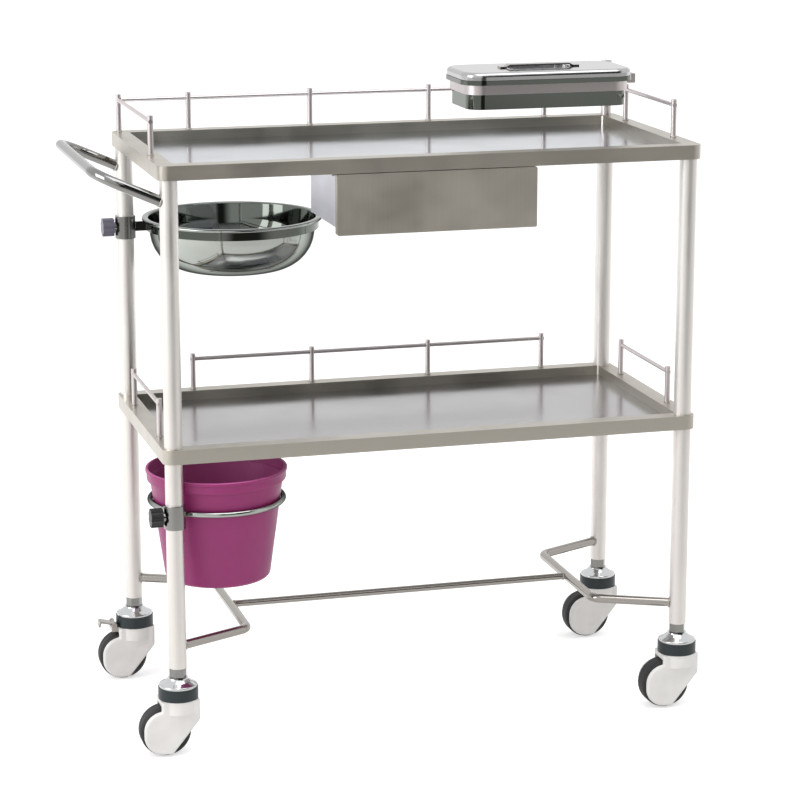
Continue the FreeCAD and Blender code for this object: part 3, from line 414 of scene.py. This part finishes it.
LEG_X, LEG_Y = abs(middle_of("leg_front_left").x), abs(middle_of("leg_front_left").y)
LEG_RADIUS = 0.0125
RAIL_X, RAIL_Y = middle_of("upper_right_rail").x, middle_of("upper_back_rail").y
FIRST_POST_X, POST_PITCH = -0.2745, 0.183
BACK_POSTS = [(FIRST_POST_X + POST_PITCH * number, RAIL_Y) for number in range(4)]
SIDE_POST_Y, LONE_POST_Y = 0.098, -0.075
RIGHT_POSTS = [(RAIL_X, -SIDE_POST_Y), (RAIL_X, SIDE_POST_Y)]
# A bead is the radius of its ring and of the bead itself.
POST_BEAD, STRETCHER_BEAD = (0.004, 0.0009), (0.005, 0.0011)
BRACE_BEAD, HANDLE_BEAD = (0.0065, 0.0014), (0.0075, 0.0014)
BEAD_LIFT, BEAD_SINK = 0.0004, 0.0002
BRACE_LEAN = Vector((0.112, 0.054, 0)).normalized()
HANDLE_LEVEL, HANDLE_TILT = 0.777, math.radians(24)


def post_welds(tier, posts):
    """Beads where a tier's rail posts stand on its rim."""
    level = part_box(tier + "_rail_posts")[0][2] + BEAD_LIFT
    beads(tier + "_post_welds", "trolley", [((x, y, level), (0, 0, 1), *POST_BEAD) for x, y in posts])


def brace_welds():
    """Beads where the foot braces meet the legs, and where the stretcher meets the braces."""
    rings = []
    brace_level = middle_of("left_foot_brace").z
    for side_x in (-1, 1):
        for side_y in (-1, 1):
            lean = Vector((-side_x * BRACE_LEAN.x, -side_y * BRACE_LEAN.y, 0))
            leg = Vector((side_x * LEG_X, side_y * LEG_Y, brace_level))
            rings.append((leg + lean * (LEG_RADIUS - BEAD_SINK), lean, *BRACE_BEAD))
    stretcher = middle_of("foot_stretcher")
    for end in (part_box("left_foot_brace")[1][0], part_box("right_foot_brace")[0][0]):
        rings.append(((end, stretcher.y, stretcher.z), (1, 0, 0), *STRETCHER_BEAD))
    beads("brace_welds", "trolley", rings)


def handle_welds():
    """Beads where the push handle's arms meet the left legs."""
    arm = Vector((-math.cos(HANDLE_TILT), 0, math.sin(HANDLE_TILT)))
    rings = []
    for side in (-1, 1):
        leg = Vector((-LEG_X, side * LEG_Y, HANDLE_LEVEL))
        rings.append((leg + arm * LEG_RADIUS, arm, *HANDLE_BEAD))
    beads("handle_welds", "trolley", rings)


post_welds("upper", [*BACK_POSTS, *RIGHT_POSTS, (-RAIL_X, LONE_POST_Y), (-RAIL_X, RAIL_Y)])
post_welds("lower", [*BACK_POSTS, *RIGHT_POSTS, (-RAIL_X, -SIDE_POST_Y), (-RAIL_X, SIDE_POST_Y)])
brace_welds()
handle_welds()


# Studio, with zones of the floor and regions of the world that only glossy rays see

FLOOR_SIZE, FLOOR_GLOW = 40, 0.55
FLOOR_COLOUR, NEAR_FLOOR, FAR_FLOOR = (0.80, 0.80, 0.79), (0.88, 0.87, 0.85), (0.08, 0.077, 0.066)
NEAR_DEPTH = (0.9, -0.5, None, None)
FAR_DEPTH, FAR_WIDTH = (-1.0, -3.6, None, None), (-2.0, -0.8, 1.2, 2.8)


def floor_material():
    """White to the camera, with the trolley's shadow; metal mirrors it darker far in front."""
    surface = Surface("studio_floor", FLOOR_COLOUR, 0.9)
    where = surface.add("ShaderNodeSeparateXYZ")
    surface.link(surface.place, where.inputs[0])
    across, along = where.outputs["X"], where.outputs["Y"]
    path = surface.add("ShaderNodeLightPath")
    glossy_ray = path.outputs["Is Glossy Ray"]

    glow = surface.add("ShaderNodeEmission")
    glow.inputs["Color"].default_value = (1, 1, 1, 1)
    glow.inputs["Strength"].default_value = FLOOR_GLOW
    glowing = surface.add("ShaderNodeAddShader")
    surface.link(glow.outputs[0], glowing.inputs[0])
    surface.link(surface.shader.outputs[0], glowing.inputs[1])
    shown = surface.add("ShaderNodeMath", operation="MAXIMUM")
    surface.link(path.outputs["Is Camera Ray"], shown.inputs[0])
    surface.link(glossy_ray, shown.inputs[1])
    floor = surface.mixed_shaders(shown.outputs[0], surface.shader.outputs[0], glowing.outputs[0])

    near = surface.window(along, NEAR_DEPTH)
    far = surface.product(surface.window(along, FAR_DEPTH), surface.window(across, FAR_WIDTH))
    for zone, colour in ((near, NEAR_FLOOR), (far, FAR_FLOOR)):
        paint = surface.add("ShaderNodeBsdfDiffuse")
        paint.inputs["Color"].default_value = (*colour, 1)
        floor = surface.mixed_shaders(surface.product(zone, glossy_ray), floor, paint.outputs[0])
    surface.link(floor, surface.tree.nodes["Material Output"].inputs["Surface"])
    return surface.material


bpy.ops.mesh.primitive_plane_add(size=FLOOR_SIZE, location=(0, 0, 0))
plane = bpy.context.object
plane.name = "floor"
plane.data.materials.append(floor_material())

WHITE, ROOM, ROOM_ON_MATT = (1, 1, 1), (0.95, 0.95, 0.95), (0.75, 0.75, 0.75)
DARK_WALL, WINDOW = (0.035, 0.040, 0.036), (1.1, 1.1, 1.1)
DARK_WALL_EDGES = {
    "X": (-0.22, 0.02, 0.60, 0.85), "Y": (None, None, -0.50, -0.20), "Z": (None, None, 0.62, 0.75)}
WINDOW_EDGES = {
    "X": (0.02, 0.06, 0.30, 0.34), "Y": (None, None, -0.50, -0.20), "Z": (0.42, 0.46, 0.60, 0.64)}


def studio_world():
    """White to the camera, pale all round; metal also mirrors a dark wall in front, with a window in it."""
    world = bpy.data.worlds.new("studio")
    bpy.context.scene.world = world
    world.use_nodes = True
    world.node_tree.nodes.clear()
    sky = Tree(world.node_tree)
    direction = sky.add("ShaderNodeSeparateXYZ")
    sky.link(sky.add("ShaderNodeTexCoord").outputs["Generated"], direction.inputs[0])
    mirrored = ROOM
    for regions, colour in ((DARK_WALL_EDGES, DARK_WALL), (WINDOW_EDGES, WINDOW)):
        sides = [sky.window(direction.outputs[axis], edges) for axis, edges in regions.items()]
        mirrored = sky.mixed(sky.product(*sides), mirrored, colour)
    path = sky.add("ShaderNodeLightPath")
    lighting = sky.mixed(path.outputs["Is Glossy Ray"], ROOM_ON_MATT, mirrored)
    background = sky.add("ShaderNodeBackground")
    sky.link(sky.mixed(path.outputs["Is Camera Ray"], lighting, WHITE), background.inputs["Color"])
    sky.link(background.outputs[0], sky.add("ShaderNodeOutputWorld").inputs["Surface"])


studio_world()

TROLLEY_MIDDLE = Vector((0, 0, 0.45))


def lamp(name, place, size, watts):
    """A soft rectangular lamp, aimed at the trolley's middle."""
    data = bpy.data.lights.new(name, "AREA")
    data.shape = "RECTANGLE"
    data.size, data.size_y = size
    data.energy = watts
    thing = bpy.data.objects.new(name, data)
    bpy.context.scene.collection.objects.link(thing)
    thing.location = place
    thing.rotation_euler = (TROLLEY_MIDDLE - Vector(place)).to_track_quat("-Z", "Y").to_euler()


lamp("left_window", (-2.6, -0.6, 1.6), (1.6, 2.0), 30)
lamp("top_softbox", (0.2, -0.8, 3.0), (2.4, 1.6), 26)


# Camera, fitted to the photograph's viewing angle

SENSOR_WIDTH, LENS = 36, 120.9
CAMERA_PLACE = (-1.040, -3.685, 1.351)
CAMERA_PITCH, CAMERA_YAW = 13.31, 15.73

camera_data = bpy.data.cameras.new("camera")
camera_data.sensor_width = SENSOR_WIDTH
camera_data.lens = LENS
camera = bpy.data.objects.new("camera", camera_data)
bpy.context.scene.collection.objects.link(camera)
camera.location = CAMERA_PLACE
camera.rotation_euler = (math.radians(90 - CAMERA_PITCH), 0, math.radians(-CAMERA_YAW))
bpy.context.scene.camera = camera
bpy.context.scene.view_settings.view_transform = "Standard"
